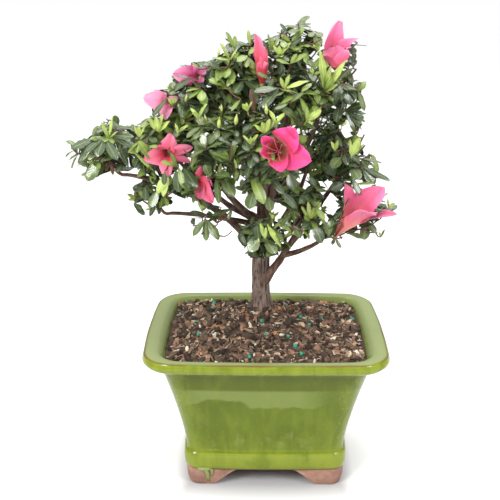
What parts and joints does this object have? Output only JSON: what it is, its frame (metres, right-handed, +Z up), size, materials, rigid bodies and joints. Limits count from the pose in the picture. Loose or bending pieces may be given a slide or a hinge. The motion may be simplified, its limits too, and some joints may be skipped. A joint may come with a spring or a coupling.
{
  "type": "azalea bonsai in a glazed pot",
  "caption": "Azalea bonsai in flower: slender trunk and spreading boughs with sprays of small oval leaves and pink funnel blooms, in a green glazed footed pot.",
  "frame": {"origin": "on the level surface under the feet, at the middle of the whole plant's box", "axes": "+Z up the trunk, the plant's front faces -Y, +X to the right seen from the front"},
  "size_m": [0.2704, 0.2034, 0.3888],
  "materials": {
    "glaze": "glossy olive-green glaze, pale sage on the lip",
    "clay": "matt unglazed terracotta",
    "soil": "rough bark and peat mix with pale chips",
    "bark": "rough grey-brown bark with upright ridges",
    "foliage": "glossy dark green leaves with lime new shoots",
    "blossom": "soft satin pink petals"
  },
  "bodies": {
    "root": {"pot_bowl": "glaze", "pot_foot_front_left": "clay", "pot_foot_front_right": "clay", "pot_foot_back_left": "clay", "pot_foot_back_right": "clay", "soil": "soil", "trunk": "bark", "bough_leader_left": "bark", "bough_leader_right": "bark", "bough_right": "bark", "bough_right_low": "bark", "bough_left_long": "bark", "bough_left_low": "bark", "bough_left_shoulder": "bark", "bough_left_up": "bark", "bough_crown_left": "bark", "bough_crown_front": "bark", "bough_crown_mid": "bark", "bough_shoulder_right": "bark", "bough_inner_right": "bark", "bough_left_inner": "bark", "bough_left_hanging": "bark", "bough_back_left": "bark", "bough_back_mid": "bark", "bough_back_right": "bark", "bough_back_upper": "bark", "bough_back_top": "bark", "bough_back_low": "bark", "foliage_far_left": "foliage", "foliage_left_shoulder": "foliage", "foliage_left_low": "foliage", "foliage_left_upper": "foliage", "foliage_crown_left": "foliage", "foliage_crown_front": "foliage", "foliage_apex_left": "foliage", "foliage_apex": "foliage", "foliage_crown_mid": "foliage", "foliage_shoulder_right": "foliage", "foliage_right_mid": "foliage", "foliage_right_low": "foliage", "foliage_inner_right": "foliage", "foliage_left_inner": "foliage", "foliage_left_hanging": "foliage", "foliage_trunk_spray": "foliage", "foliage_back_left": "foliage", "foliage_back_mid": "foliage", "foliage_back_right": "foliage", "foliage_back_upper": "foliage", "foliage_back_top": "foliage", "foliage_back_low": "foliage"}
  },
  "joints": []
}
